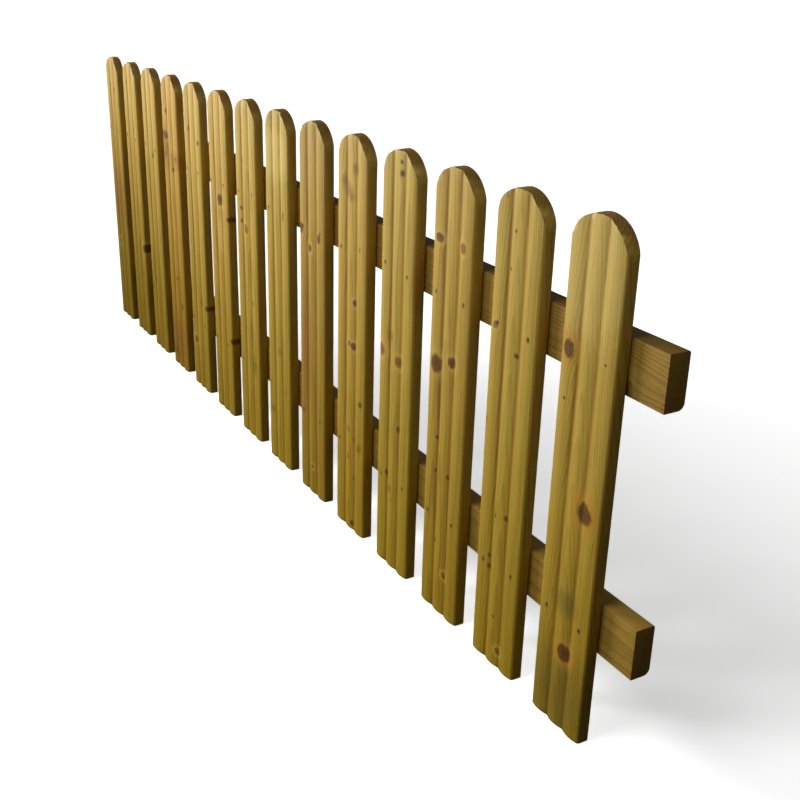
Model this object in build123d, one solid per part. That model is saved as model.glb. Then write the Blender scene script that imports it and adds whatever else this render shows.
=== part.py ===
from build123d import *
import os

# Picket fence panel in sawn softwood: upright pales with round tops, nailed across the front of
# two level rails. The rails run past the outer pales as stubs that lap onto the posts.
# X runs along the panel, +Y to the back, where the posts stand, and +Z up.
# The origin is on the back of the lower rail's left stub, in its middle.

# Driving dimensions, in millimetres

panel_length = 1830.0
stub_length = 52.0

pale_count = 14
pale_height = 600.0
pale_width = 85.0
pale_thickness = 18.0
arch_height = 39.0
lobe_count = 3
lobe_depth = 2.9
valley_radius = 1.4
front_corner_radius = 5.0
back_corner_radius = 2.0

rail_height = 62.0
rail_depth = 26.0
rail_front_radius = 1.5
rail_back_top_radius = 3.0
rail_back_bottom_radius = 8.0
lower_rail_rise = 117.0
upper_rail_rise = 423.0

# Places worked out from the driving dimensions

left_end = -stub_length / 2
first_pale_left = left_end + stub_length
pale_pitch = (panel_length - 2 * stub_length - pale_width) / (pale_count - 1)
pale_foot = -(lower_rail_rise + rail_height / 2)
pale_back = -rail_depth


def corners_at(face, places):
    """The corners of a face nearest to some places."""
    return [face.vertices().sort_by_distance(place)[0] for place in places]


def pale_section():
    """The pale across its grain: rounded lobes on the front, a flat back and eased corners."""
    crest = -pale_thickness
    valley = crest + lobe_depth
    lobe_width = pale_width / lobe_count
    feet = [(lobe * lobe_width, valley) for lobe in range(lobe_count + 1)]
    crests = [((lobe + 0.5) * lobe_width, crest) for lobe in range(lobe_count)]
    lobes = [ThreePointArc(*points) for points in zip(feet, crests, feet[1:])]
    box = Polyline(feet[-1], (pale_width, 0), (0, 0), feet[0])
    face = make_face(Curve() + lobes + box)
    face = fillet(corners_at(face, feet[1:-1]), valley_radius)
    face = fillet(corners_at(face, [feet[0], feet[-1]]), front_corner_radius)
    return fillet(corners_at(face, [(0, 0), (pale_width, 0)]), back_corner_radius)


def pale_outline():
    """The pale seen from the front: straight sides under one shallow half round."""
    shoulder = pale_height - arch_height
    right_shoulder = (pale_width, shoulder)
    left_shoulder = (0, shoulder)
    sides = Polyline(left_shoulder, (0, 0), (pale_width, 0), right_shoulder)
    arch = ThreePointArc(right_shoulder, (pale_width / 2, pale_height), left_shoulder)
    return make_face(Curve() + [sides, arch])


def pale():
    """One pale standing on its foot, its left edge at x = 0 and its back at y = 0."""
    board = extrude(pale_section(), pale_height)
    outline = extrude(Plane.XZ * pale_outline(), 2 * pale_thickness)
    return board & outline


def rail():
    """One level rail, its left end at x = 0, its back at y = 0 and its middle at z = 0."""
    top = rail_height / 2
    section = Rectangle(rail_depth, rail_height, align=(Align.MAX, Align.CENTER))
    front_corners = corners_at(section, [(-rail_depth, -top), (-rail_depth, top)])
    section = fillet(front_corners, rail_front_radius)
    section = fillet(corners_at(section, [(0, top)]), rail_back_top_radius)
    section = fillet(corners_at(section, [(0, -top)]), rail_back_bottom_radius)
    across = Plane(origin=(0, 0, 0), x_dir=(0, 1, 0), z_dir=(1, 0, 0))
    return extrude(across * section, panel_length)


def save(shape, name):
    """Write one piece under its name."""
    shape.label = name
    export_step(shape, f"parts/{name}.step")


os.makedirs("parts", exist_ok=True)

for number in range(pale_count):
    left = first_pale_left + number * pale_pitch
    save(Pos(left, pale_back, pale_foot) * pale(), f"pale_{number + 1:02d}")

for name, rise in {"rail_lower": lower_rail_rise, "rail_upper": upper_rail_rise}.items():
    middle = pale_foot + rise + rail_height / 2
    save(Pos(left_end, 0, middle) * rail(), name)
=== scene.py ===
"""Looks of a round-top picket fence panel: moulded pales, sawn rails, nails and treated softwood."""

import logging
import math
import random
from collections.abc import Callable, Iterable
from dataclasses import dataclass, replace
from enum import Enum

import bmesh
import bpy
import numpy as np
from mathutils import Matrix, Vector


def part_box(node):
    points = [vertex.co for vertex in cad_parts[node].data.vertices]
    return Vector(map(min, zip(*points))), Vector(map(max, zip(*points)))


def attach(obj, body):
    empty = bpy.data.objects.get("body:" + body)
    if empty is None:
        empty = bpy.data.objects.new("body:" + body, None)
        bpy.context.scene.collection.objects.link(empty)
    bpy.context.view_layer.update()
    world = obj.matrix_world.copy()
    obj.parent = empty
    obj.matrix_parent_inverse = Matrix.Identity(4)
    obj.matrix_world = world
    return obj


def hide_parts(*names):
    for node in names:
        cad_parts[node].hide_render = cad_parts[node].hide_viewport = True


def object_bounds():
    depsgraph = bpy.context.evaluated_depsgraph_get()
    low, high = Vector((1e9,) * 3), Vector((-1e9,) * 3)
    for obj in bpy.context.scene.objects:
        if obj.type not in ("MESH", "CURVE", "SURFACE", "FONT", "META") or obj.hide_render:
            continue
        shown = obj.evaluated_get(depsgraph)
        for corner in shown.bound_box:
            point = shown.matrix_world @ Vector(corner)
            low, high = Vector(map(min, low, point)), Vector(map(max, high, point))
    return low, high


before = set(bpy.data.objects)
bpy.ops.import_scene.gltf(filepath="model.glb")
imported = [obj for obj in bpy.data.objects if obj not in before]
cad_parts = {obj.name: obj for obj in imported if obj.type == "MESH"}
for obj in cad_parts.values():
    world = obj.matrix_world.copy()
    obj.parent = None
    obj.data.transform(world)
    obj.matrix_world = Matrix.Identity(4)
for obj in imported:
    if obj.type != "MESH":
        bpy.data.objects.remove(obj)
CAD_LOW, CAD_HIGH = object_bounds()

log = logging.getLogger("panel")

MM = 0.001
NEAR = 0.01 * MM
WHOLE_BODY = "root"
PALE_NODES = sorted(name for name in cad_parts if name.startswith("pale_"))

Colour = tuple[float, float, float]
Number = float | int
Place = tuple[float, float, float]


def linear(red: int, green: int, blue: int) -> Colour:
    """A colour written as on screen, 0 to 255, in the linear values that a shader takes."""
    shares = (level / 255 for level in (red, green, blue))
    return tuple(s / 12.92 if s <= 0.04045 else ((s + 0.055) / 1.055) ** 2.4 for s in shares)


# Shader maths

class Value:
    """A number that varies over a surface. Python's operators on it add Math nodes."""

    def __init__(self, sheet: "Sheet", socket: bpy.types.NodeSocket) -> None:
        """Keep the sheet that the number is worked out on and the socket that gives it."""
        self.sheet = sheet
        self.socket = socket

    def math(self, operation: str, *others: "Value | Number") -> "Value":
        """This and others, in order, combined by a Math node's operation."""
        return self.sheet.math(operation, self, *others)

    def __add__(self, other: "Value | Number") -> "Value":
        """This plus other."""
        return self.math("ADD", other)

    __radd__ = __add__

    def __mul__(self, other: "Value | Number") -> "Value":
        """This times other."""
        return self.math("MULTIPLY", other)

    __rmul__ = __mul__

    def __sub__(self, other: "Value | Number") -> "Value":
        """This minus other."""
        return self.math("SUBTRACT", other)

    def __rsub__(self, other: Number) -> "Value":
        """Other minus this."""
        return self.sheet.math("SUBTRACT", other, self)

    def __truediv__(self, other: "Value | Number") -> "Value":
        """This over other."""
        return self.math("DIVIDE", other)

    def __rtruediv__(self, other: Number) -> "Value":
        """Other over this."""
        return self.sheet.math("DIVIDE", other, self)

    def __pow__(self, other: "Value | Number") -> "Value":
        """This to the power of other."""
        return self.math("POWER", other)

    def __abs__(self) -> "Value":
        """The size of this."""
        return self.math("ABSOLUTE")

    def fraction(self) -> "Value":
        """What is left of this after its whole part."""
        return self.math("FRACT")

    def root(self) -> "Value":
        """The square root of this."""
        return self.math("SQRT")

    def step(self, low: float, high: float) -> "Value":
        """A smooth step from 0 to 1 as this goes from low to high, or from 1 to 0 where low is the larger.

        Args:
            low: where the step is 0.
            high: where the step is 1.

        Returns:
            The step, from 0 to 1.
        """
        falls = low > high
        values = {"Value": self, "From Min": min(low, high), "From Max": max(low, high)}
        values |= {"To Min": float(falls), "To Max": float(not falls)}
        return self.sheet.value("ShaderNodeMapRange", "Result", {"interpolation_type": "SMOOTHSTEP"}, values)


class Sheet:
    """One material's nodes."""

    def __init__(self, name: str) -> None:
        """Start an empty material of this name."""
        self.material = bpy.data.materials.new(name)
        self.material.use_nodes = True
        self.nodes = self.material.node_tree.nodes
        self.links = self.material.node_tree.links
        self.nodes.clear()

    def node(self, kind: str, settings: dict | None = None, values: dict | None = None) -> bpy.types.Node:
        """Add a node.

        Args:
            kind: the node's type.
            settings: its own settings, which are set first.
            values: numbers, colours, values or sockets for its inputs, by name, identifier or place.

        Returns:
            The new node.
        """
        made = self.nodes.new(kind)
        for key, setting in (settings or {}).items():
            setattr(made, key, setting)
        for key, value in (values or {}).items():
            by_identifier = {socket.identifier: socket for socket in made.inputs}
            socket = made.inputs[key] if isinstance(key, int) else by_identifier.get(key) or made.inputs[key]
            if isinstance(value, Value):
                self.links.new(value.socket, socket)
            elif isinstance(value, bpy.types.NodeSocket):
                self.links.new(value, socket)
            else:
                socket.default_value = value
        return made

    def value(
        self, kind: str, output: str | int, settings: dict | None = None, values: dict | None = None,
    ) -> Value:
        """Add a node and give the output of this name or place as a number."""
        return Value(self, self.node(kind, settings, values).outputs[output])

    def math(self, operation: str, *terms: Value | Number) -> Value:
        """Add a Math node with these terms, in order, and give its result."""
        return self.value("ShaderNodeMath", 0, {"operation": operation}, dict(enumerate(terms)))

    def vector(self, x: Value | Number, y: Value | Number, z: Value | Number) -> bpy.types.NodeSocket:
        """Join three numbers and give the vector's socket."""
        return self.node("ShaderNodeCombineXYZ", values={"X": x, "Y": y, "Z": z}).outputs[0]

    def split(self, output: str) -> list[Value]:
        """The x, y and z of a place (Object) or of the way that the surface faces there (Normal)."""
        vector = self.node("ShaderNodeTexCoord").outputs[output]
        parts = self.node("ShaderNodeSeparateXYZ", values={0: vector}).outputs
        return [Value(self, parts[axis]) for axis in range(3)]

    def noise(self, place: bpy.types.NodeSocket, detail: float = 2.0, rough: float = 0.5) -> Value:
        """Cloudy noise about 0, mostly from -0.5 to 0.5.

        Args:
            place: where it is read; one unit is about one cloud.
            detail: how many finer layers it has.
            rough: how strong the finer layers are.

        Returns:
            The noise.
        """
        values = {"Vector": place, "Scale": 1.0, "Detail": detail, "Roughness": rough}
        return self.value("ShaderNodeTexNoise", 0, {"noise_dimensions": "3D"}, values) - 0.5

    def mix(
        self, base: object, other: object, share: Value | Number, how: str = "MIX",
    ) -> bpy.types.NodeSocket:
        """Mix two colours.

        Args:
            base: the colour's socket, or the colour, where share is 0.
            other: the one where share is 1.
            share: how much of other shows.
            how: the Mix node's blend type.

        Returns:
            The mixed colour's socket.
        """
        colours = {}
        for key, colour in (("A_Color", base), ("B_Color", other)):
            colours[key] = (*colour, 1.0) if isinstance(colour, tuple) else colour
        settings = {"data_type": "RGBA", "blend_type": how, "clamp_factor": True}
        made = self.node("ShaderNodeMix", settings, {"Factor_Float": share} | colours)
        return next(socket for socket in made.outputs if socket.identifier == "Result_Color")

    def finish(self, values: dict) -> bpy.types.Material:
        """Close the sheet with the one shader, whose inputs get these values."""
        shader = self.node("ShaderNodeBsdfPrincipled", values=values)
        self.node("ShaderNodeOutputMaterial", values={"Surface": shader.outputs[0]})
        return self.material


# Timber

class Kind(Enum):
    """How a mark on the timber looks."""

    PIN = "pin knot"
    BROWN = "brown knot"
    RED = "red knot"
    HALO = "knot in a pale ring"
    SMUDGE = "smudge"
    LIGHT = "light patch"
    RUST = "reddish patch"
    STAIN = "dull stain"
    # Painted shade round a nail head, as of the recess it sits in.
    NAIL = "stain round a nail"


@dataclass(frozen=True)
class MarkLook:
    """The colour of a kind of mark and what it does to the grain.

    Edge is how soft its outline is, push how far it bends the grain, and halo how strongly the ring round it
    shows. A front-only mark doesn't reach the board's sides.
    """

    colour: Colour
    strength: float
    edge: float
    push: float = 0.0
    rings: bool = False
    halo: float = 0.0
    ring: Colour = linear(196, 168, 88)
    tall: float = 1.0
    front_only: bool = False

    def darker(self, share: float) -> Colour:
        """Its colour with only a share of the light."""
        return tuple(level * share for level in self.colour)


@dataclass(frozen=True)
class KnotForm:
    """How a knot is laid out, in half widths from its middle, and how dark its parts are.

    A pair of distances says where a part starts to show and where it is full.
    """

    ring_width: float = 1.6
    ring_edge: tuple[float, float] = (0.2, 0.9)
    ring_share: float = 0.4
    heart: tuple[float, float] = (0.45, 0.1)
    heart_share: float = 0.5
    heart_level: float = 0.5
    rim_inner: tuple[float, float] = (0.72, 0.95)
    rim_outer: tuple[float, float] = (1.2, 1.0)
    rim_share: float = 0.8
    rim_level: float = 0.42
    halo_inner: tuple[float, float] = (1.0, 1.2)
    halo_outer: tuple[float, float] = (2.4, 1.2)
    grain_gap: float = 0.45
    rise_reach: float = 1.3
    fray: float = 0.5
    edge_fray: float = 0.8
    edge_reach: float = 0.6


KNOT = KnotForm()

LOOKS = {
    Kind.PIN: MarkLook(linear(88, 52, 8), 0.85, 0.5, push=0.8),
    Kind.BROWN: MarkLook(linear(106, 66, 10), 0.92, 0.32, push=1.0, rings=True, halo=0.35),
    Kind.RED: MarkLook(linear(104, 60, 10), 0.92, 0.3, push=1.15, rings=True, halo=0.6,
                       ring=linear(190, 132, 44)),
    Kind.HALO: MarkLook(linear(132, 84, 22), 0.8, 0.38, push=1.2, rings=True, halo=0.6,
                        ring=linear(204, 158, 66)),
    Kind.SMUDGE: MarkLook(linear(118, 80, 20), 0.6, 0.8, push=0.35),
    Kind.LIGHT: MarkLook(linear(208, 180, 100), 0.45, 0.5, front_only=True),
    Kind.RUST: MarkLook(linear(146, 90, 40), 0.5, 0.8),
    Kind.STAIN: MarkLook(linear(88, 78, 30), 0.5, 0.8),
    # The nail mark is painted shade round the head.
    Kind.NAIL: MarkLook(linear(52, 42, 8), 0.75, 0.7, tall=1.3),
}


@dataclass(frozen=True)
class Mark:
    """A knot, stain or patch on a face: millimetres across from the left edge and up from the foot."""

    across: float
    up: float
    half_width: float
    kind: Kind
    stretch: float = 1.0

    def relief(self, across: np.ndarray, up: np.ndarray) -> np.ndarray:
        """How far the knot stands out of the planed face, from 0 to 1.

        Args:
            across: places across the board, in millimetres.
            up: places along the board, in millimetres.

        Returns:
            The share of a full knot's height at each place.
        """
        if not LOOKS[self.kind].rings:
            return np.zeros_like(across)
        reach = np.hypot(across - self.across, (up - self.up) / self.stretch) / self.half_width
        return np.clip(KNOT.rise_reach - reach, 0, 1)


@dataclass(frozen=True)
class Board:
    """One board's own timber.

    The tree's pith ran so many millimetres across from the board's left edge and in front of its face, and
    the tree tapered by so much a millimetre. Then come the width of a year's ring, the tone and the marks,
    and last a painted shade for the faces turned to the far end of the across axis: a pale's right side or a
    rail's top.
    """

    pith_across: float
    pith_depth: float
    taper: float
    ring: float
    tone: Colour
    marks: tuple[Mark, ...]
    painted_far_side_shade: Colour | None = None


@dataclass(frozen=True)
class Axes:
    """Which way a board lies: its corner and the axes across, into and along it."""

    corner: Vector
    across: int
    depth: int
    along: int


class Spot:
    """A place on a board, in millimetres from its corner, and which way the surface faces there."""

    END_TURN = (0.25, 0.85)
    FRONT_TURN = (-0.3, -0.8)
    FAR_SIDE_TURN = (0.5, 0.9)

    def __init__(self, sheet: Sheet, axes: Axes) -> None:
        """Read the place and the normal.

        Args:
            sheet: the material's nodes.
            axes: how the board lies.
        """
        self.sheet = sheet
        place = sheet.split("Object")
        normal = sheet.split("Normal")
        self.across, self.depth, self.up = (
            (place[axis] - axes.corner[axis]) / MM for axis in (axes.across, axes.depth, axes.along)
        )
        self.end = abs(normal[axes.along]).step(*self.END_TURN)
        self.front = normal[axes.depth].step(*self.FRONT_TURN)
        self.far_side = normal[axes.across].step(*self.FAR_SIDE_TURN)


@dataclass(frozen=True)
class Cloud:
    """A noise in the timber: how wide and how long its clouds are, in millimetres, and its finer layers."""

    wide: float
    long: float
    detail: float = 2.0
    rough: float = 0.5

    def read(self, spot: Spot, across: Value | None = None) -> Value:
        """Read the noise.

        Args:
            spot: the place on the board.
            across: the place across it, where the grain counts it otherwise.

        Returns:
            The noise there, about 0.
        """
        across = across or spot.across
        place = spot.sheet.vector(across / self.wide, spot.depth / self.wide, spot.up / self.long)
        return spot.sheet.noise(place, self.detail, self.rough)


@dataclass(frozen=True)
class Growth:
    """The rings and fibres at a place: late wood, the year's strength, fibres, streaks and broad clouds."""

    late: Value
    year: Value
    fine: Value
    streak: Value
    broad: Value


@dataclass(frozen=True)
class TreatedTimber:
    """Pressure-treated softwood: straw-green early wood, browner late wood and dark end grain.

    Lengths are in millimetres, but for the bump, which is in metres.
    """

    name: str
    light: Colour
    dark: Colour

    ragged: Cloud = Cloud(5, 7, 3.0, 0.6)
    wander: Cloud = Cloud(38, 170)
    wander_reach: float = 9.0
    ripple: Cloud = Cloud(9, 60, 1.0)
    ripple_reach: float = 1.2
    fibre: Cloud = Cloud(0.9, 34, 3.0, 0.6)
    streak: Cloud = Cloud(5.5, 230)
    broad: Cloud = Cloud(26, 130)
    pore: Cloud = Cloud(1.3, 1.3, 3.0, 0.65)

    late_wood: tuple[float, float] = (0.35, 0.86)
    year_end: tuple[float, float] = (1.0, 0.9)
    years_alike: float = 0.55
    year_length: float = 900.0
    year_level: float = 0.8
    year_swing: float = 1.8
    end_rings: float = 0.3

    base_share: float = 0.05
    late_share: float = 0.3
    fibre_share: float = 0.3
    streak_share: float = 0.9

    golden: Colour = linear(160, 116, 48)
    olive: Colour = linear(132, 124, 44)
    cast_gain: float = 2.4
    cast_edge: tuple[float, float] = (0.1, 1.0)
    cast_share: float = 0.4

    # Painted shade: by the share below, the timber turns darker and more saturated towards the foot.
    foot: Colour = (0.78, 0.74, 0.2)
    foot_reach: tuple[float, float] = (590.0, -40.0)
    foot_wander: float = 120.0
    foot_shade: float = 1.0

    # The valleys between the lobes are darkened, partly by dirt gathered there and partly by painted shade
    # of the creases.
    valleys: tuple[float, ...] = ()
    valley_dirt_and_shade: Colour = linear(208, 190, 128)
    valley_reach: tuple[float, float] = (5.5, 0.2)
    valley_wander: float = 1.2
    valley_level: float = 0.85
    valley_swing: float = 1.5

    end_tone: Colour = (0.46, 0.37, 0.22)
    pore_tone: Colour = linear(60, 42, 16)
    pore_edge: tuple[float, float] = (0.02, 0.3)
    pore_share: float = 0.6

    sawn: float = 0.0
    saw_pitch: float = 2.3
    saw_slant: float = 40.0
    saw_wander: float = 1.6
    saw_edge: tuple[float, float] = (0.1, 0.7)
    saw_tone: Colour = linear(150, 130, 90)
    saw_pore_edge: tuple[float, float] = (-0.1, 0.25)
    saw_share: float = 0.6

    ring_height: float = 0.35
    fibre_height: float = 0.5
    pore_height: float = 1.6
    ragged_height: float = 0.15
    bump: float = 0.0004
    bump_strength: float = 0.8

    rough: float = 0.52
    late_rough: float = 0.06
    end_rough: float = 0.25
    fibre_rough: float = 0.2
    pore_rough: float = 0.1
    gloss: float = 0.38

    def bend(self, spot: Spot, marks: Iterable[Mark]) -> tuple[Value, list[tuple[Mark, Value]]]:
        """Work out where each mark is and how the grain bends round the knots.

        Args:
            spot: the place on the board.
            marks: the board's marks.

        Returns:
            The place across as the bent grain counts it, and each mark with its distance in half widths.
        """
        bent = spot.across
        found = []
        for mark in marks:
            look = LOOKS[mark.kind]
            aside = spot.across - mark.across
            above = (spot.up - mark.up) / (mark.stretch * look.tall)
            squared = (aside * aside + above ** 2) / mark.half_width ** 2
            if look.push:
                bent = bent - aside * look.push / (squared + KNOT.grain_gap)
            found.append((mark, squared.root()))
        return bent, found

    def growth(self, spot: Spot, board: Board, bent: Value) -> Growth:
        """Work out the year rings and fibres.

        Args:
            spot: the place on the board.
            board: the board's own timber.
            bent: the place across as the bent grain counts it.

        Returns:
            The rings and fibres there.
        """
        ripple = self.ripple.read(spot)
        grain = bent + self.wander.read(spot) * self.wander_reach + ripple * self.ripple_reach
        out = grain - board.pith_across
        deep = spot.depth + board.pith_depth
        ring = ((out * out + deep * deep).root() + spot.up * board.taper + ripple) / board.ring
        phase = ring.fraction()
        year = spot.sheet.vector(ring * self.years_alike, 0.0, spot.up / self.year_length)
        return Growth(
            late=phase.step(*self.late_wood) * phase.step(*self.year_end),
            year=spot.sheet.noise(year, 1.0),
            fine=self.fibre.read(spot, grain),
            streak=self.streak.read(spot, grain),
            broad=self.broad.read(spot, grain),
        )

    def clear_wood(self, spot: Spot, board: Board, growth: Growth, ragged: Value) -> bpy.types.NodeSocket:
        """Colour the timber between its marks.

        Args:
            spot: the place on the board.
            board: the board's own timber.
            growth: the rings and fibres there.
            ragged: the small noise that frays every outline.

        Returns:
            The colour's socket.
        """
        mix = spot.sheet.mix
        years = growth.late * (self.year_level + growth.year * self.year_swing)
        late_share = (years + spot.end * growth.late * self.end_rings) * self.late_share
        fibres = growth.fine * self.fibre_share + growth.streak * self.streak_share
        colour = mix(self.light, self.dark, self.base_share + late_share + fibres)
        for cast, gain in ((self.golden, self.cast_gain), (self.olive, -self.cast_gain)):
            colour = mix(colour, cast, (growth.broad * gain).step(*self.cast_edge) * self.cast_share)
        colour = mix(colour, board.tone, 1.0, "MULTIPLY")
        # Painted shade on the faces turned to the far end of the across axis: a pale's right side, a rail's
        # top.
        if board.painted_far_side_shade:
            colour = mix(colour, board.painted_far_side_shade, spot.far_side, "MULTIPLY")
        # Painted shade, darker and more saturated towards the foot.
        foot_shade_mask = (spot.up + growth.broad * self.foot_wander).step(*self.foot_reach)
        colour = mix(colour, self.foot, foot_shade_mask * self.foot_shade, "MULTIPLY")
        # Darken each valley: dirt and painted shade of the crease.
        for valley in self.valleys:
            aside = abs(spot.across - valley + ragged * self.valley_wander)
            shade = aside.step(*self.valley_reach) * (self.valley_level + growth.streak * self.valley_swing)
            colour = mix(colour, self.valley_dirt_and_shade, shade * (1 - spot.end), "MULTIPLY")
        return colour

    @staticmethod
    def lay(
        spot: Spot, colour: bpy.types.NodeSocket, mark: Mark, reach: Value, ragged: Value,
    ) -> tuple[bpy.types.NodeSocket, Value | None]:
        """Lay a mark over the timber.

        Args:
            spot: the place on the board.
            colour: the timber's colour so far.
            mark: the mark.
            reach: the distance from its middle, in half widths.
            ragged: the small noise that frays every outline.

        Returns:
            The colour with the mark, and how far its own rings stand out, if it has any.
        """
        mix = spot.sheet.mix
        look = LOOKS[mark.kind]
        near = reach + ragged * (KNOT.fray + look.edge * KNOT.edge_fray)
        inside = near.step(1 + look.edge * KNOT.edge_reach, 1 - look.edge)
        tint = look.colour
        rings = None
        if look.halo:
            halo = near.step(*KNOT.halo_inner) * near.step(*KNOT.halo_outer)
            colour = mix(colour, look.ring, halo * look.halo)
        if look.rings:
            turns = (near * (mark.half_width / KNOT.ring_width)).fraction().step(*KNOT.ring_edge)
            dark = turns * KNOT.ring_share + near.step(*KNOT.heart) * KNOT.heart_share
            rim = near.step(*KNOT.rim_inner) * near.step(*KNOT.rim_outer)
            tint = mix(tint, look.darker(KNOT.heart_level), dark)
            tint = mix(tint, look.darker(KNOT.rim_level), rim * KNOT.rim_share)
            rings = inside * turns
        if look.front_only:
            inside = inside * spot.front
        return mix(colour, tint, inside * look.strength * (1 - spot.end)), rings

    def material(self, name: str, axes: Axes, board: Board) -> bpy.types.Material:
        """Make the timber of one board.

        Args:
            name: the board's name.
            axes: how the board lies.
            board: its own timber.

        Returns:
            The material.
        """
        sheet = Sheet(f"{self.name} {name}")
        spot = Spot(sheet, axes)
        ragged = self.ragged.read(spot)
        pore = self.pore.read(spot)
        bent, reaches = self.bend(spot, board.marks)
        growth = self.growth(spot, board, bent)

        colour = self.clear_wood(spot, board, growth, ragged)
        rings = growth.late
        for mark, reach in reaches:
            colour, knot_rings = self.lay(spot, colour, mark, reach, ragged)
            rings = rings + knot_rings if knot_rings else rings
        colour = sheet.mix(colour, self.end_tone, spot.end, "MULTIPLY")
        colour = sheet.mix(colour, self.pore_tone, spot.end * pore.step(*self.pore_edge) * self.pore_share)

        relief = rings * self.ring_height + growth.fine * self.fibre_height
        relief = relief + spot.end * pore * self.pore_height + ragged * self.ragged_height
        if self.sawn:
            slope = spot.up / self.saw_pitch + spot.across / self.saw_slant
            teeth = (slope + ragged * self.saw_wander).fraction()
            relief = relief + teeth.step(*self.saw_edge) * self.sawn * (1 - spot.end) + pore * self.sawn
            shade = teeth * pore.step(*self.saw_pore_edge) * self.sawn * self.saw_share
            colour = sheet.mix(colour, self.saw_tone, shade, "MULTIPLY")
        values = {"Height": relief, "Strength": self.bump_strength, "Distance": self.bump}
        normal = sheet.node("ShaderNodeBump", values=values).outputs[0]

        rough = self.rough + growth.late * self.late_rough + spot.end * self.end_rough
        rough = rough + growth.fine * self.fibre_rough + pore * self.pore_rough
        values = {"Base Color": colour, "Roughness": rough, "Normal": normal}
        return sheet.finish(values | {"Specular IOR Level": self.gloss})


@dataclass(frozen=True)
class NailSteel:
    """The dull, browned head of a galvanised nail. Sizes are in millimetres, but for the bump's."""

    name: str = "nail_steel"
    bright: Colour = linear(158, 144, 110)
    brown: Colour = linear(44, 32, 14)
    fleck: Cloud = Cloud(1.1, 1.1, 3.0, 0.6)
    tone: Cloud = Cloud(60, 60, 1.0)
    tone_share: float = 1.5
    worn_edge: tuple[float, float] = (-0.1, 0.35)
    metal_share: float = 0.5
    rough: float = 0.7
    polish: float = 0.3
    bump: float = 0.0003
    bump_strength: float = 0.5

    def material(self) -> bpy.types.Material:
        """Make the steel, brown where it is weathered and bright where it is worn."""
        sheet = Sheet(self.name)
        spot = Spot(sheet, Axes(Vector(), 0, 1, 2))
        fleck = self.fleck.read(spot)
        worn = (fleck + self.tone.read(spot) * self.tone_share).step(*self.worn_edge)
        values = {"Height": fleck, "Strength": self.bump_strength, "Distance": self.bump}
        normal = sheet.node("ShaderNodeBump", values=values).outputs[0]
        values = {"Base Color": sheet.mix(self.brown, self.bright, worn), "Normal": normal}
        values |= {"Metallic": worn * self.metal_share, "Roughness": self.rough - worn * self.polish}
        return sheet.finish(values)


# The boards' own timber, as it shows in the panel

def several(kind: Kind, *places: tuple[float, float, float]) -> tuple[Mark, ...]:
    """Marks of one kind, each given as millimetres across, up and half width."""
    return tuple(Mark(across, up, half_width, kind) for across, up, half_width in places)


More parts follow.
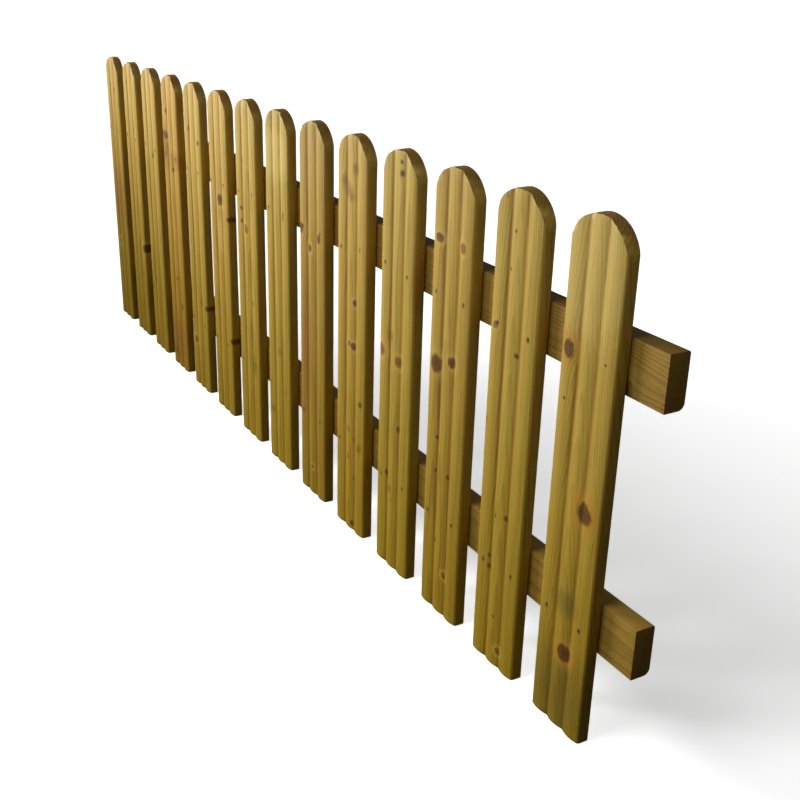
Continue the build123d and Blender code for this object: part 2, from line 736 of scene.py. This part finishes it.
PALES = (
    Board(20, 60, 0.015, 3.4, (0.97, 0.95, 0.86), (
        Mark(42, 290, 52, Kind.RUST, 1.6),
        *several(Kind.SMUDGE, (36, 541, 6), (59, 529, 8), (36, 511, 6)),
        *several(Kind.HALO, (29, 179, 7)))),
    Board(70, 38, 0.022, 3.0, (1.04, 1.01, 0.98), (
        *several(Kind.PIN, (29, 557, 5), (59, 459, 5.5)),
        *several(Kind.BROWN, (85, 204, 10)))),
    Board(30, 52, 0.018, 3.6, (1.03, 1.02, 1.0), (
        *several(Kind.PIN, (57, 426, 6), (30, 156, 5)),)),
    Board(48, 30, 0.03, 2.8, (1.02, 0.92, 0.78), (
        Mark(70, 439, 22, Kind.RUST, 0.8),
        Mark(40, 60, 40, Kind.RUST, 1.6),
        Mark(18, 460, 24, Kind.SMUDGE, 1.7),
        Mark(16, 483, 14, Kind.RED, 0.6),
        *several(Kind.PIN, (26, 530, 5), (53, 419, 5), (47, 195, 4)),
        *several(Kind.STAIN, (68, 139, 9), (21, 31, 9)))),
    Board(60, 55, 0.012, 3.2, (1.0, 1.0, 0.97), (
        *several(Kind.PIN, (27, 514, 5), (75, 494, 5), (82, 176, 6)),
        *several(Kind.SMUDGE, (57, 181, 8),),
        *several(Kind.HALO, (20, 96, 7)))),
    Board(25, 48, 0.02, 3.0, (1.0, 0.97, 0.9), (
        Mark(49, 345, 7, Kind.LIGHT, 5.0),
        *several(Kind.BROWN, (49, 410, 10)),
        *several(Kind.PIN, (83, 380, 5), (84, 150, 6)))),
    Board(64, 40, 0.026, 3.3, (0.98, 0.99, 0.92), (
        Mark(63, 139, 12, Kind.STAIN, 1.6),
        *several(Kind.PIN, (33, 499, 4), (23, 416, 4), (23, 394, 4), (65, 256, 4)),
        *several(Kind.HALO, (43, 384, 8)))),
    Board(36, 70, 0.01, 3.8, (0.95, 0.97, 0.88), (
        Mark(42, 530, 60, Kind.LIGHT, 0.7),
        *several(Kind.SMUDGE, (67, 435, 6), (48, 204, 5), (18, 92, 7)))),
    Board(50, 34, 0.016, 3.2, (0.84, 0.81, 0.7), (
        Mark(22, 250, 24, Kind.RUST, 5.0),
        *several(Kind.RED, (8, 436, 9), (67, 431, 7)),
        *several(Kind.BROWN, (38, 411, 6.5)),
        *several(Kind.RUST, (10, 141, 11)),
        *several(Kind.HALO, (44, 48, 4)))),
    Board(44, 26, 0.03, 2.8, (0.99, 0.96, 0.87), (
        *several(Kind.SMUDGE, (34, 524, 12), (24, 534, 9), (44, 516, 8), (55, 555, 9), (40, 166, 6),
                 (72, 146, 7), (55, 151, 5), (40, 121, 5), (57, 90, 6), (57, 51, 4)),
        *several(Kind.BROWN, (55, 365, 5.5), (42, 301, 5), (52, 299, 6)),
        *several(Kind.PIN, (74, 216, 5), (52, 11, 5)))),
    Board(66, 46, 0.014, 3.6, (0.97, 0.99, 0.9), (
        Mark(83, 440, 5, Kind.RUST, 10.0),
        *several(Kind.PIN, (51, 571, 5), (49, 585, 3), (27, 144, 4.5), (55, 221, 5)),
        *several(Kind.SMUDGE, (30, 350, 8), (38, 124, 6), (30, 120, 5), (42, 109, 3)),
        *several(Kind.HALO, (8, 324, 9), (52, 319, 8)))),
    Board(30, 42, 0.02, 3.0, (0.94, 0.92, 0.82), (
        Mark(16, 511, 8, Kind.BROWN, 0.75),
        Mark(18, 350, 11, Kind.BROWN, 1.1),
        *several(Kind.HALO, (66, 509, 7), (55, 61, 5)),
        *several(Kind.BROWN, (53, 362, 7.5)),
        *several(Kind.PIN, (26, 251, 3), (54, 206, 3.5), (26, 204, 2.5), (31, 104, 3.5)))),
    Board(46, 14, 0.05, 3.4, (0.96, 0.97, 0.86), (
        *several(Kind.RUST, (19, 589, 5), (4, 320, 5)),
        *several(Kind.PIN, (39, 553, 2.5), (33, 509, 2.5), (53, 414, 3.5), (54, 210, 3.5), (34, 205, 2.5),
                 (26, 146, 3), (27, 131, 4), (44, 69, 2.5)),
        *several(Kind.HALO, (12, 439, 5), (55, 24, 5)))),
    Board(40, 10, 0.07, 3.6, (0.98, 0.98, 0.9), (
        Mark(42, 540, 76, Kind.LIGHT, 1.0),
        Mark(42, 40, 60, Kind.STAIN, 1.2),
        Mark(44, 164, 20, Kind.STAIN, 0.9),
        Mark(14, 453, 9, Kind.RED, 1.2),
        Mark(61, 282, 12, Kind.RED, 1.1),
        Mark(49, 101, 10, Kind.RED, 1.1),
        *several(Kind.PIN, (14, 398, 2.2),)), painted_far_side_shade=(0.76, 0.7, 0.4)),
)

RAILS = {
    "rail_lower": Board(31, 60, 0.004, 3.6, (1.0, 0.97, 0.84), (
        *several(Kind.BROWN, (40, 640, 9), (22, 1180, 8)),)),
    "rail_upper": Board(24, 18, 0.012, 3.2, (0.94, 0.9, 0.84), (
        Mark(6, 1764, 17, Kind.BROWN, 1.2),
        Mark(44, 1215, 12, Kind.BROWN, 1.2),
        *several(Kind.BROWN, (30, 560, 9))), painted_far_side_shade=(0.56, 0.52, 0.3)),
}


# Modelling

class Bench:
    """The steps that every piece is modelled with."""

    @staticmethod
    def clear() -> None:
        """Leave nothing selected."""
        if bpy.context.object and bpy.context.object.mode != "OBJECT":
            bpy.ops.object.mode_set(mode="OBJECT")
        bpy.ops.object.select_all(action="DESELECT")

    @classmethod
    def box(cls, name: str, low: Vector, high: Vector) -> bpy.types.Object:
        """Start a piece as a box at its size and place, and open it in edit mode.

        Args:
            name: the piece's name.
            low: its lowest corner.
            high: its highest corner.

        Returns:
            The piece.
        """
        cls.clear()
        bpy.ops.mesh.primitive_cube_add(size=1.0, location=(low + high) / 2, scale=high - low)
        piece = bpy.context.object
        piece.name = name
        bpy.ops.object.transform_apply(location=True, rotation=True, scale=True)
        bpy.ops.object.mode_set(mode="EDIT")
        bpy.ops.mesh.select_mode(type="VERT")
        return piece

    @staticmethod
    def pick(piece: bpy.types.Object, wanted: Callable[[Vector], bool]) -> None:
        """Select the vertices at some places, with the edges and faces between them.

        Args:
            piece: the piece that is open in edit mode.
            wanted: says of a place whether it is wanted.
        """
        mesh = bmesh.from_edit_mesh(piece.data)
        for vertex in mesh.verts:
            vertex.select = wanted(vertex.co)
        mesh.select_flush_mode()
        bmesh.update_edit_mesh(piece.data)

    @staticmethod
    def pick_edges(piece: bpy.types.Object, wanted: Callable[[Vector, Vector], bool]) -> None:
        """Select some edges alone.

        Args:
            piece: the piece that is open in edit mode.
            wanted: says of an edge's two ends whether it is wanted.
        """
        bpy.ops.mesh.select_mode(type="EDGE")
        bpy.ops.mesh.select_all(action="DESELECT")
        mesh = bmesh.from_edit_mesh(piece.data)
        for edge in mesh.edges:
            edge.select = wanted(edge.verts[0].co, edge.verts[1].co)
        bmesh.update_edit_mesh(piece.data)

    @staticmethod
    def slice(x: float) -> None:
        """Cut round the whole open piece at this x."""
        bpy.ops.mesh.select_all(action="SELECT")
        bpy.ops.mesh.bisect(plane_co=(x, 0, 0), plane_no=(1, 0, 0))

    @classmethod
    def move(cls, piece: bpy.types.Object, wanted: Callable[[Vector], bool], by: Vector) -> None:
        """Move the vertices at some places.

        Args:
            piece: the piece that is open in edit mode.
            wanted: says of a place whether it moves.
            by: how far.
        """
        if by.length > NEAR / 100:
            cls.pick(piece, wanted)
            bpy.ops.transform.translate(value=by)

    @classmethod
    def close(cls, piece: bpy.types.Object, smooth_under: float) -> None:
        """Leave edit mode with the normals outward and the gentle edges smooth.

        Args:
            piece: the piece.
            smooth_under: edges that turn by less than this, in degrees, are smooth.
        """
        bpy.ops.mesh.select_all(action="SELECT")
        bpy.ops.mesh.normals_make_consistent(inside=False)
        bpy.ops.object.mode_set(mode="OBJECT")
        cls.clear()
        piece.select_set(True)
        bpy.context.view_layer.objects.active = piece
        bpy.ops.object.shade_smooth_by_angle(angle=math.radians(smooth_under))

    @classmethod
    def weather(cls, piece: bpy.types.Object, name: str, grain_size: float, depth: float) -> None:
        """Sink a surface unevenly, by no more than a depth, as planing and drying leave it.

        Args:
            piece: the piece.
            name: what the unevenness is.
            grain_size: how wide it is.
            depth: how deep it goes.
        """
        texture = bpy.data.textures.get(name) or bpy.data.textures.new(name, "CLOUDS")
        texture.noise_scale = grain_size
        texture.noise_depth = 2
        cls.clear()
        bpy.context.view_layer.objects.active = piece
        piece.select_set(True)
        uneven = piece.modifiers.new(name, "DISPLACE")
        uneven.texture = texture
        uneven.texture_coords = "LOCAL"
        uneven.strength = depth
        uneven.mid_level = 1.0
        bpy.ops.object.modifier_apply(modifier=name)

    @staticmethod
    def copy(piece: bpy.types.Object, name: str, by: Vector) -> bpy.types.Object:
        """Copy a piece with its own mesh, and put the copy's place in its mesh.

        Args:
            piece: the piece to copy.
            name: the copy's name.
            by: how far from the first it stands.

        Returns:
            The copy.
        """
        twin = piece.copy()
        twin.data = piece.data.copy()
        twin.name = name
        twin.data.name = name
        bpy.context.scene.collection.objects.link(twin)
        Bench.place(twin, Bench.places(piece) + np.array(by))
        return twin

    @staticmethod
    def place(piece: bpy.types.Object, co: np.ndarray) -> None:
        """Put a piece's vertices at new places, one row of x, y and z for each."""
        piece.data.vertices.foreach_set("co", co.ravel())
        piece.data.update()

    @staticmethod
    def places(piece: bpy.types.Object) -> np.ndarray:
        """The places of a piece's vertices, one row of x, y and z for each."""
        flat = np.empty(len(piece.data.vertices) * 3)
        piece.data.vertices.foreach_get("co", flat)
        return flat.reshape(-1, 3)


def dress(piece: bpy.types.Object, material: bpy.types.Material, node: str | None = None) -> None:
    """Give a finished piece its material and body.

    Args:
        piece: the piece.
        material: its finish.
        node: the solid that it stands for, if any.
    """
    piece.data.materials.clear()
    piece.data.materials.append(material)
    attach(piece, WHOLE_BODY)
    if node:
        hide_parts(node)
    log.info("%s: %d faces", piece.name, len(piece.data.polygons))


@dataclass
class Pales:
    """The moulded pales: three lobes down the front, a round top and a square foot."""

    lobes: int = 3
    lobe_depth: float = 2.9 * MM
    valley_reach: float = 1.9 * MM
    valley_rise: float = 0.35 * MM
    front_corner: float = 4.2 * MM
    back_corner: float = 2.0 * MM
    arch_height: float = 39.0 * MM
    steps_in_lobe: int = 9
    steps_in_corner: int = 5
    corner_clearance: float = 1.2
    rows: int = 170
    smooth_under: float = 38.0
    arris: float = 0.5 * MM
    rim_reach: float = 0.8 * MM
    chatter: float = 0.9 * MM
    knot_rise: float = 0.12 * MM
    planing_depth: float = 0.3 * MM
    planing_size: float = 22.0 * MM
    timber: TreatedTimber = TreatedTimber("planed_timber", linear(192, 160, 70), linear(124, 92, 18))

    def front_drop(self, across: float, width: float) -> float:
        """How far the front lies behind its crests.

        Args:
            across: the place across the pale.
            width: the pale's width.

        Returns:
            The depth below the crests.
        """
        lobe_width = width / self.lobes
        aside = (across % lobe_width) - lobe_width / 2
        radius = (lobe_width ** 2 / 4 + self.lobe_depth ** 2) / (2 * self.lobe_depth)
        drop = radius - math.sqrt(radius ** 2 - min(abs(aside), lobe_width / 2) ** 2)
        valley = min(abs(across - lobe_width * number) for number in range(1, self.lobes))
        if valley < self.valley_reach:
            drop -= self.valley_rise * (1 - valley / self.valley_reach) ** 2
        edge = min(across, width - across)
        if edge < self.front_corner:
            at_corner = radius - math.sqrt(radius ** 2 - (lobe_width / 2 - self.front_corner) ** 2)
            inward = self.front_corner - edge
            drop = at_corner + self.front_corner - math.sqrt(self.front_corner ** 2 - inward ** 2)
        return drop

    def back_drop(self, across: float, width: float) -> float:
        """How far the back's eased corners lie in front of its flat."""
        inward = max(self.back_corner - min(across, width - across), 0.0)
        return self.back_corner - math.sqrt(self.back_corner ** 2 - inward ** 2)

    def top_drop(self, across: float, width: float) -> float:
        """How far the round top lies below its crown."""
        radius = (width ** 2 / 4 + self.arch_height ** 2) / (2 * self.arch_height)
        return radius - math.sqrt(radius ** 2 - (across - width / 2) ** 2)

    def stations(self, width: float) -> list[float]:
        """The places across a pale where its section is cut.

        Args:
            width: the pale's width.

        Returns:
            The places, edges included.
        """
        turns = [math.pi / 2 * step / self.steps_in_corner for step in range(self.steps_in_corner + 1)]
        corner = [self.front_corner * (1 - math.cos(turn)) for turn in turns]
        clear = self.front_corner * self.corner_clearance
        lobe_width = width / self.lobes
        found = set(corner) | {width - place for place in corner}
        for number in range(self.lobes):
            for step in range(self.steps_in_lobe + 1):
                place = lobe_width * (number + step / self.steps_in_lobe)
                if clear < place < width - clear:
                    found.add(place)
        for number in range(1, self.lobes):
            found |= {lobe_width * number + self.valley_reach * share for share in (-1, -0.5, 0.5, 1)}
        return sorted(found)

    def shape(self, low: Vector, high: Vector) -> bpy.types.Object:
        """Model one pale from a box.

        Args:
            low: its lowest corner.
            high: its highest corner.

        Returns:
            The pale.
        """
        piece = Bench.box("pattern_pale", low, high)
        width, height = high.x - low.x, high.z - low.z
        middle = (low + high) / 2
        stations = self.stations(width)
        for across in stations[1:-1]:
            Bench.slice(low.x + across)
        for across in stations:
            x = low.x + across
            moves = (
                (lambda p: p.y < middle.y, Vector((0, self.front_drop(across, width), 0))),
                (lambda p: p.y > middle.y, Vector((0, -self.back_drop(across, width), 0))),
                (lambda p: p.z > middle.z, Vector((0, 0, -self.top_drop(across, width)))),
            )
            for on_side, by in moves:
                Bench.move(piece, lambda p: abs(p.x - x) < NEAR and on_side(p), by)
        self.ease_ends(piece, low, high)
        Bench.pick_edges(piece, lambda a, b: abs(a.z - b.z) > height / 2)
        bpy.ops.mesh.subdivide(number_cuts=self.rows)
        Bench.close(piece, self.smooth_under)
        return piece

    def ease_ends(self, piece: bpy.types.Object, low: Vector, high: Vector) -> None:
        """Ease the sawn rims at the top and the foot.

        Args:
            piece: the pale, open in edit mode.
            low: its lowest corner.
            high: its highest corner.
        """
        thickness = high.y - low.y
        width = high.x - low.x
        shrink = 1 - 2 * self.arris / thickness
        middle = (low + high) / 2
        for upward in (True, False):
            away = self.arris if upward else -self.arris
            Bench.move(piece, lambda p: (p.z > middle.z) == upward, Vector((0, 0, -away)))
            bpy.ops.mesh.extrude_region_move(TRANSFORM_OT_translate={"value": (0, 0, away)})
            narrow = 1.0 if upward else 1 - 2 * self.arris / width
            bpy.ops.transform.resize(value=(narrow, shrink, 1), center_override=middle)

    def chip_rim(self, co: np.ndarray, low: Vector, high: Vector, number: int) -> None:
        """Chip the front rim of the round top, as a saw leaves it.

        Args:
            co: the places of the pale's vertices, which are changed.
            low: its lowest corner.
            high: its highest corner.
            number: the pale's number, which the chips follow.
        """
        rng = np.random.default_rng(number)
        width = high.x - low.x
        across = np.clip(co[:, 0] - low.x, 0, width)
        crown = high.z - np.array([self.top_drop(place, width) for place in across])
        rim = (np.abs(crown - co[:, 2]) < self.rim_reach) & (co[:, 1] < (low.y + high.y) / 2)
        co[rim, 2] -= self.chatter * rng.random(rim.sum()) ** 2
        co[rim, 1] += self.chatter * rng.random(rim.sum()) ** 2

    def raise_knots(self, co: np.ndarray, low: Vector, number: int) -> None:
        """Raise the knots out of the front, but not past the crests of the lobes.

        Args:
            co: the places of the pale's vertices, which are changed.
            low: its lowest corner.
            number: the pale's number.
        """
        across, _, up = ((co - np.array(low)) / MM).T
        front = co[:, 1] < low.y + self.lobe_depth + self.front_corner / 2
        rise = np.zeros(len(co))
        for mark in PALES[number].marks:
            rise = np.maximum(rise, mark.relief(across, up))
        co[:, 1] -= np.where(front, rise * self.knot_rise, 0)
        co[:, 1] = np.maximum(co[:, 1], low.y)

    def build(self) -> None:
        """Model the pattern pale once, then make every pale from it."""
        first_low, first_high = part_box(PALE_NODES[0])
        pattern = self.shape(first_low, first_high)
        lobe_width = (first_high.x - first_low.x) / self.lobes / MM
        valleys = tuple(lobe_width * number for number in range(1, self.lobes))
        timber = replace(self.timber, valleys=valleys)
        for number, node in enumerate(PALE_NODES):
            low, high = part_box(node)
            piece = Bench.copy(pattern, f"moulded_{node}", low - first_low)
            Bench.weather(piece, "planing", self.planing_size, self.planing_depth)
            co = Bench.places(piece)
            self.chip_rim(co, low, high, number)
            self.raise_knots(co, low, number)
            Bench.place(piece, co)
            board = PALES[number]
            board = replace(board, marks=board.marks + Nails().nail_shades(number))
            material = timber.material(node, Axes(low, 0, 1, 2), board)
            dress(piece, material, node)
        bpy.data.objects.remove(pattern)


@dataclass
class Rails:
    """The two sawn rails behind the pales, their back lower corner well rounded."""

    front_corner: float = 1.5 * MM
    back_top_corner: float = 3.0 * MM
    back_bottom_corner: float = 8.0 * MM
    arris: float = 0.6 * MM
    rows: int = 260
    smooth_under: float = 40.0
    sawing_depth: float = 0.3 * MM
    sawing_size: float = 14.0 * MM
    timber: TreatedTimber = TreatedTimber(
        "sawn_timber", linear(170, 136, 50), linear(104, 76, 18), late_share=0.4, sawn=0.5, rough=0.66,
        bump=0.0006, foot_shade=0.0, end_tone=(0.66, 0.58, 0.32))

    def shape(self, name: str, low: Vector, high: Vector) -> bpy.types.Object:
        """Model one rail from a box.

        Args:
            name: the rail's name.
            low: its lowest corner.
            high: its highest corner.

        Returns:
            The rail.
        """
        piece = Bench.box(name, low, high)
        length = high.x - low.x
        corners = (
            (low.y, low.z, self.front_corner, 3), (low.y, high.z, self.front_corner, 3),
            (high.y, high.z, self.back_top_corner, 4), (high.y, low.z, self.back_bottom_corner, 8),
        )
        for y, z, radius, segments in corners:
            Bench.pick_edges(
                piece, lambda a, b: all(abs(p.y - y) < NEAR and abs(p.z - z) < NEAR for p in (a, b)))
            bpy.ops.mesh.bevel(offset=radius, segments=segments, affect="EDGES")
        Bench.pick_edges(piece, lambda a, b: abs(a.x - b.x) < NEAR)
        bpy.ops.mesh.bevel(offset=self.arris, segments=2, affect="EDGES")
        Bench.pick_edges(piece, lambda a, b: abs(a.x - b.x) > length / 2)
        bpy.ops.mesh.subdivide(number_cuts=self.rows)
        Bench.close(piece, self.smooth_under)
        return piece

    def build(self) -> None:
        """Model both rails."""
        for node, board in RAILS.items():
            low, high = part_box(node)
            piece = self.shape(f"sawn_{node}", low, high)
            Bench.weather(piece, "sawing", self.sawing_size, self.sawing_depth)
            material = self.timber.material(node, Axes(low, 2, 1, 0), board)
            dress(piece, material, node)


@dataclass
class Nails:
    """The nails through each pale at each rail, two side by side on its outer lobes."""

    head_radius: float = 1.7 * MM
    shank_radius: float = 1.1 * MM
    head_thickness: float = 0.9 * MM
    shank_length: float = 38.0 * MM
    sunk: float = 0.02 * MM
    crown: float = 0.18 * MM
    crown_inset: float = 0.25
    point_share: float = 0.08
    point_width: float = 0.15
    sides: int = 16
    smooth_under: float = 50.0
    spread: tuple[float, float] = (14.0, 71.0)
    rises: tuple[float, float] = (142.0, 444.0)
    stray: tuple[float, float] = (2.0, 5.0)
    first_seed: int = 40
    # The painted shade round each nail head: its half width and how far below the head it sits.
    shade_half_width: float = 2.7
    shade_drop: float = 1.0
    clean_pale: int = 13
    clean_rise: float = 454.0

    def places(self, number: int) -> list[tuple[float, float]]:
        """Where a pale's nails are, in millimetres across it and up from its foot.

        Args:
            number: the pale's number from the left, counted from 0.

        Returns:
            The four places, the lower rail's first.
        """
        hand = random.Random(self.first_seed + number)
        aside, along = self.stray
        found = [
            (across + hand.uniform(-aside, aside), up + hand.uniform(-along, along))
            for up in self.rises for across in self.spread
        ]
        if number == self.clean_pale:
            found[len(self.spread):] = [(across, self.clean_rise) for across in self.spread]
        return found

    def nail_shades(self, number: int) -> tuple[Mark, ...]:
        """The painted shade round a pale's nail heads, a little below each, but for those at the clean rise.

        Args:
            number: the pale's number from the left, counted from 0.

        Returns:
            The painted shades, as marks.
        """
        shaded_places = [place for place in self.places(number) if place[1] != self.clean_rise]
        return tuple(
            Mark(across, up - self.shade_drop, self.shade_half_width, Kind.NAIL) for across, up in shaded_places
        )

    def shape(self) -> bpy.types.Object:
        """Model one nail with the middle of its head's face at the origin, pointing to the back.

        Returns:
            The nail.
        """
        Bench.clear()
        bpy.ops.mesh.primitive_cylinder_add(
            vertices=self.sides, radius=self.head_radius, depth=self.head_thickness,
            location=(0, self.head_thickness / 2, 0), rotation=(math.radians(90), 0, 0))
        nail = bpy.context.object
        nail.name = "pattern_nail"
        bpy.ops.object.transform_apply(location=True, rotation=True, scale=True)
        bpy.ops.object.mode_set(mode="EDIT")
        bpy.ops.mesh.select_mode(type="VERT")
        back = self.head_thickness
        Bench.pick(nail, lambda p: p.y > back / 2)
        bpy.ops.mesh.select_mode(type="FACE")
        bpy.ops.mesh.inset(thickness=self.head_radius - self.shank_radius)
        for share in (1 - self.point_share, self.point_share):
            out = (0, self.shank_length * share, 0)
            bpy.ops.mesh.extrude_region_move(TRANSFORM_OT_translate={"value": out})
        tip = Vector((0, back + self.shank_length, 0))
        bpy.ops.transform.resize(value=(self.point_width, 1, self.point_width), center_override=tip)
        bpy.ops.mesh.select_mode(type="VERT")
        Bench.pick(nail, lambda p: p.y < back / 2)
        bpy.ops.mesh.select_mode(type="FACE")
        bpy.ops.mesh.inset(thickness=self.head_radius * self.crown_inset)
        bpy.ops.transform.translate(value=(0, -self.crown, 0))
        Bench.close(nail, self.smooth_under)
        return nail

    def build(self) -> None:
        """Drive the nails and join those along each rail."""
        pattern = self.shape()
        steel = NailSteel().material()
        in_row = len(self.spread)
        for row, title in enumerate(("nails_lower", "nails_upper")):
            driven = []
            for number, node in enumerate(PALE_NODES):
                low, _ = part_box(node)
                for across, up in self.places(number)[in_row * row:in_row * (row + 1)]:
                    at = low + Vector((across * MM, self.sunk + self.crown, up * MM))
                    driven.append(Bench.copy(pattern, title, at))
            Bench.clear()
            for nail in driven:
                nail.select_set(True)
            bpy.context.view_layer.objects.active = driven[0]
            bpy.ops.object.join()
            driven[0].name = title
            dress(driven[0], steel)
        bpy.data.objects.remove(pattern)


# The studio

@dataclass(frozen=True)
class SoftBox:
    """A soft box: its middle, its aim, its width and height, its watts and its spread in degrees."""

    place: Place
    target: Place
    size: tuple[float, float]
    power: float
    spread: float

    def hang(self) -> None:
        """Hang it."""
        turn = (Vector(self.target) - Vector(self.place)).to_track_quat("-Z", "Y").to_euler()
        bpy.ops.object.light_add(type="AREA", location=self.place, rotation=turn)
        lamp = bpy.context.object.data
        lamp.shape = "RECTANGLE"
        lamp.size, lamp.size_y = self.size
        lamp.energy = self.power
        lamp.spread = math.radians(self.spread)


@dataclass
class Studio:
    """A plain pale floor, soft light from the front left and the camera.

    The floor glows white to the camera, but for a painted shadow, a grey pool behind the panel where its
    real shadow falls too.
    """

    camera_place: Place = (2.5017, -0.7365, 0.6967)
    camera_pitch: float = 0.377
    camera_turn: float = 1.1035
    lens: float = 48.96
    shift: tuple[float, float] = (0.0925, -0.0397)
    floor_half: float = 14.0
    floor_paint: Colour = linear(244, 244, 244)
    floor_bounce: Colour = linear(70, 68, 64)
    floor_glow: float = 0.78
    # Where and how deep the painted shadow behind the panel is.
    painted_floor_shadow: float = 0.3
    grey_middle: tuple[float, float] = (1.35, 0.35)
    grey_reach: tuple[float, float] = (1.1, 1.2)
    grey_edge: tuple[float, float] = (1.25, 0.3)
    grey_front: tuple[float, float] = (-0.03, 0.1)
    world_strength: float = 0.15
    sun_strength: float = 1.4
    sun_turn: float = math.radians(-12)
    sun_height: float = math.radians(46)
    sun_angle: float = math.radians(28)
    strip: SoftBox = SoftBox((-0.7, -1.2, 0.9), (0.85, 0.0, 0.66), (1.7, 0.45), 13.5, 68)
    side_fill: SoftBox = SoftBox((3.3, -0.2, 1.05), (1.3, 0.0, 0.6), (0.9, 0.5), 0.3, 40)

    def camera(self) -> None:
        """Set up the camera."""
        bpy.ops.object.camera_add(
            location=self.camera_place, rotation=(math.pi / 2 - self.camera_pitch, 0, self.camera_turn))
        camera = bpy.context.object
        camera.data.sensor_width = 36.0
        camera.data.lens = self.lens
        camera.data.shift_x, camera.data.shift_y = self.shift
        bpy.context.scene.camera = camera

    def floor(self) -> None:
        """Lay the floor, which glows white to the camera, keeps the panel's shadow and has a painted shadow
        behind it.
        """
        Bench.clear()
        half = self.floor_half
        bpy.ops.mesh.primitive_plane_add(size=2 * half, location=(0, 0, CAD_LOW.z))
        floor = bpy.context.object
        floor.name = "floor"
        bpy.ops.object.transform_apply(location=True)
        sheet = Sheet("floor_paint")
        seen = sheet.value("ShaderNodeLightPath", "Is Camera Ray")
        place = sheet.split("Object")
        # Painted shadow: the glow dims in a soft oval behind the panel, where the real shadow falls too.
        x, y = ((place[axis] - self.grey_middle[axis]) / self.grey_reach[axis] for axis in (0, 1))
        behind = place[1].step(*self.grey_front)
        shade = (x * x + y * y).root().step(*self.grey_edge) * behind * self.painted_floor_shadow
        light = sheet.mix((0.0, 0.0, 0.0), (1.0, 1.0, 1.0), seen * (self.floor_glow - shade))
        glow = sheet.node("ShaderNodeEmission", values={"Color": light, "Strength": 1.0})
        colour = sheet.mix(self.floor_bounce, self.floor_paint, seen)
        paint = sheet.node("ShaderNodeBsdfDiffuse", values={"Color": colour})
        both = sheet.node("ShaderNodeAddShader", values={0: glow.outputs[0], 1: paint.outputs[0]})
        sheet.node("ShaderNodeOutputMaterial", values={"Surface": both.outputs[0]})
        floor.data.materials.append(sheet.material)

    def light(self) -> None:
        """Hang the broad key light, the soft strip at the front left and the weak fill at the right."""
        bpy.ops.object.light_add(type="SUN", rotation=(math.pi / 2 - self.sun_height, 0, self.sun_turn))
        sun = bpy.context.object.data
        sun.energy = self.sun_strength
        sun.angle = self.sun_angle
        self.strip.hang()
        self.side_fill.hang()

    def world(self) -> None:
        """Surround the panel with even grey light that the camera sees as white."""
        world = bpy.data.worlds.new("studio")
        bpy.context.scene.world = world
        world.use_nodes = True
        nodes = world.node_tree.nodes
        nodes.clear()
        path = nodes.new("ShaderNodeLightPath")
        strength = nodes.new("ShaderNodeMapRange")
        strength.inputs["To Min"].default_value = self.world_strength
        strength.inputs["To Max"].default_value = 1.0
        light = nodes.new("ShaderNodeBackground")
        light.inputs["Color"].default_value = (1, 1, 1, 1)
        output = nodes.new("ShaderNodeOutputWorld")
        link = world.node_tree.links.new
        link(path.outputs["Is Camera Ray"], strength.inputs["Value"])
        link(strength.outputs["Result"], light.inputs["Strength"])
        link(light.outputs[0], output.inputs["Surface"])

    def build(self) -> None:
        """Set the studio up."""
        Bench.clear()
        self.camera()
        self.floor()
        self.light()
        self.world()
        bpy.context.scene.view_settings.view_transform = "Standard"


def main() -> None:
    """Build the panel's looks and the studio round it."""
    logging.basicConfig(level=logging.INFO, format="%(message)s")
    Studio().build()
    Pales().build()
    Rails().build()
    Nails().build()


if __name__ == "__main__":
    main()
